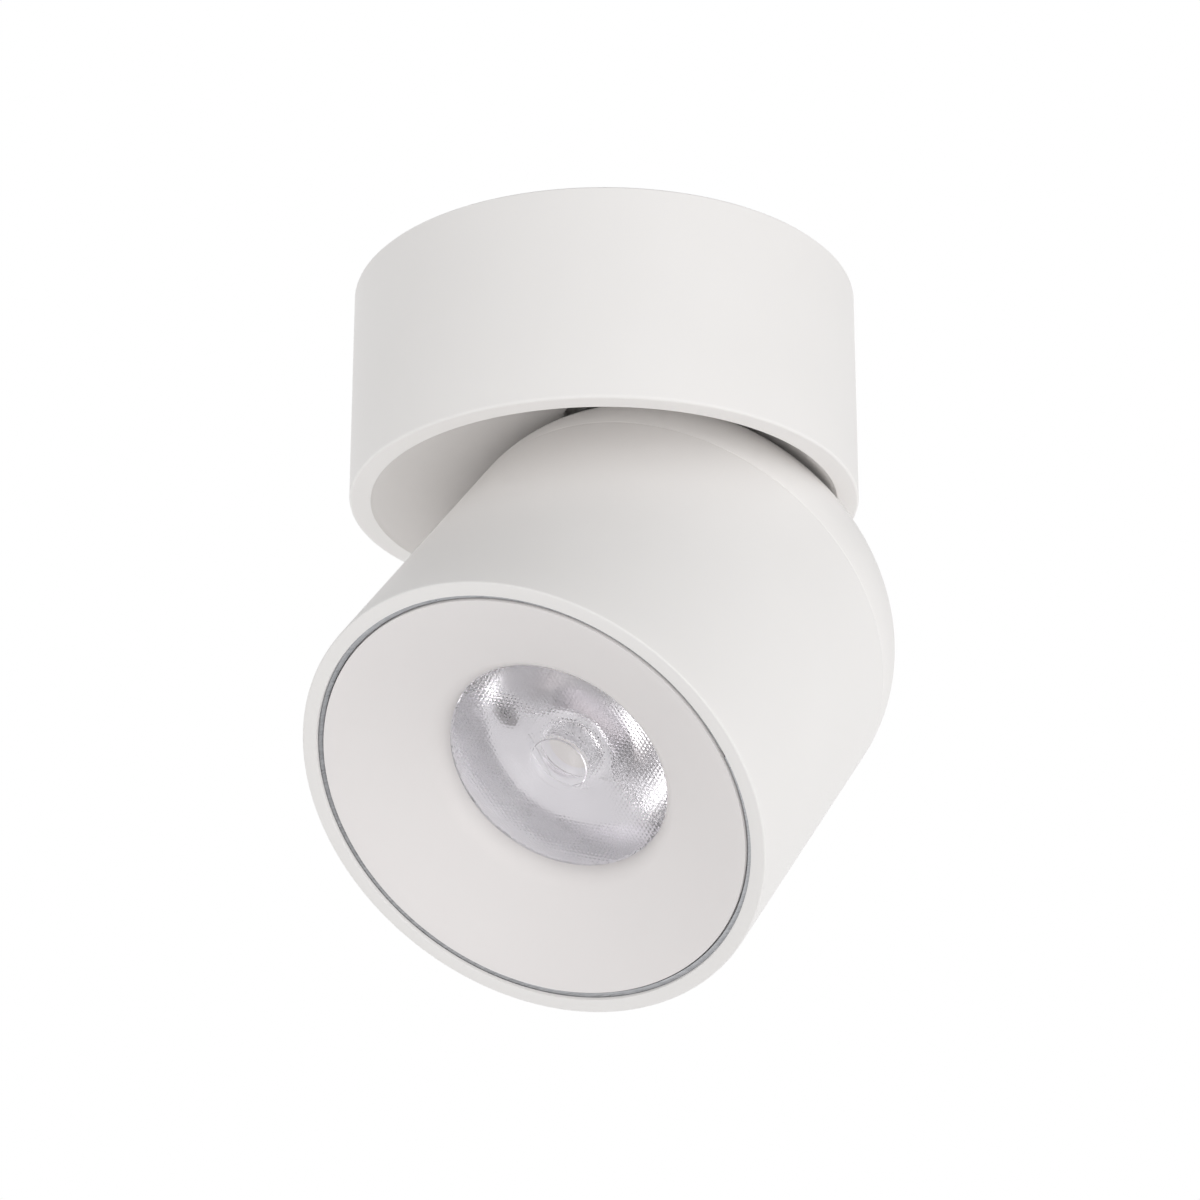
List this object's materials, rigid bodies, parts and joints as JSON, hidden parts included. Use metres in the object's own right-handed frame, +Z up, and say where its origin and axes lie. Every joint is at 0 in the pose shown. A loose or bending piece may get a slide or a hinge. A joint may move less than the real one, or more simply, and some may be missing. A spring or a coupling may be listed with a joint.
{
  "type": "adjustable ceiling spotlight",
  "caption": "Surface mounted ceiling spotlight: white cylindrical canopy with a cylindrical lamp head that pans and tilts under it, with a white baffle round a recessed collimator lens.",
  "frame": {"origin": "middle of the ceiling face of the mounting plate", "axes": "+Z up into the ceiling, the head leans towards -Y at rest, the tilt axis lies along X"},
  "size_m": [0.1, 0.1194, 0.1434],
  "materials": {
    "white_powder_coat": "fine satin powder coat, off-white",
    "white_baffle": "matt white",
    "zinc_steel": "zinc plated",
    "spring_steel": "plain spring steel, satin",
    "bright_aluminium": "bare die cast and turned aluminium",
    "brass": "bare brass",
    "black_rubber": "matt",
    "white_plastic": "moulded white polycarbonate",
    "driver_plastic": "moulded pale plastic case",
    "fibre": "pressed fibre",
    "thermal_pad": "soft grey silicone sheet",
    "ceramic_board": "white ceramic board",
    "phosphor": "yellow silicone phosphor",
    "clear_lens": "clear moulded optical acrylic"
  },
  "bodies": {
    "canopy": {"ceiling_plate": "zinc_steel", "canopy_housing": "white_powder_coat", "canopy_screws": "zinc_steel", "cable_grommet": "black_rubber", "earth_screw": "brass", "terminal_block": "white_plastic", "terminal_screw": "zinc_steel", "led_driver": "driver_plastic", "driver_screws": "zinc_steel", "carrier_plate": "zinc_steel", "carrier_screws": "zinc_steel"},
    "swivel": {"swivel_hub": "white_powder_coat", "swivel_arm": "zinc_steel", "arm_pins": "zinc_steel", "friction_disc": "fibre", "stop_washer": "zinc_steel", "disc_spring": "spring_steel", "spindle_nut": "brass"},
    "head": {"head_housing": "white_powder_coat", "rear_cap": "white_powder_coat", "cap_screws": "zinc_steel", "heat_sink": "bright_aluminium", "lead_grommet": "black_rubber", "thermal_pad": "thermal_pad", "cob_board": "ceramic_board", "cob_emitter": "phosphor", "cob_holder": "white_plastic", "cob_screws": "zinc_steel", "lens": "clear_lens", "lens_holder": "white_plastic", "lens_screws": "zinc_steel", "baffle": "white_baffle", "snap_ring": "spring_steel", "pivot_bolt": "spring_steel", "pivot_nut": "zinc_steel", "pivot_washers": "fibre"}
  },
  "joints": [
    {"name": "pan", "type": "hinge", "parent": "canopy", "child": "swivel", "pos_m": [0, 0, -0.016], "axis": [0, 0, 1], "range_deg": [-165, 165]},
    {"name": "tilt", "type": "hinge", "parent": "swivel", "child": "head", "pos_m": [0, 0, -0.086], "axis": [-1, 0, 0], "range_deg": [-41.5, 3.5]}
  ]
}
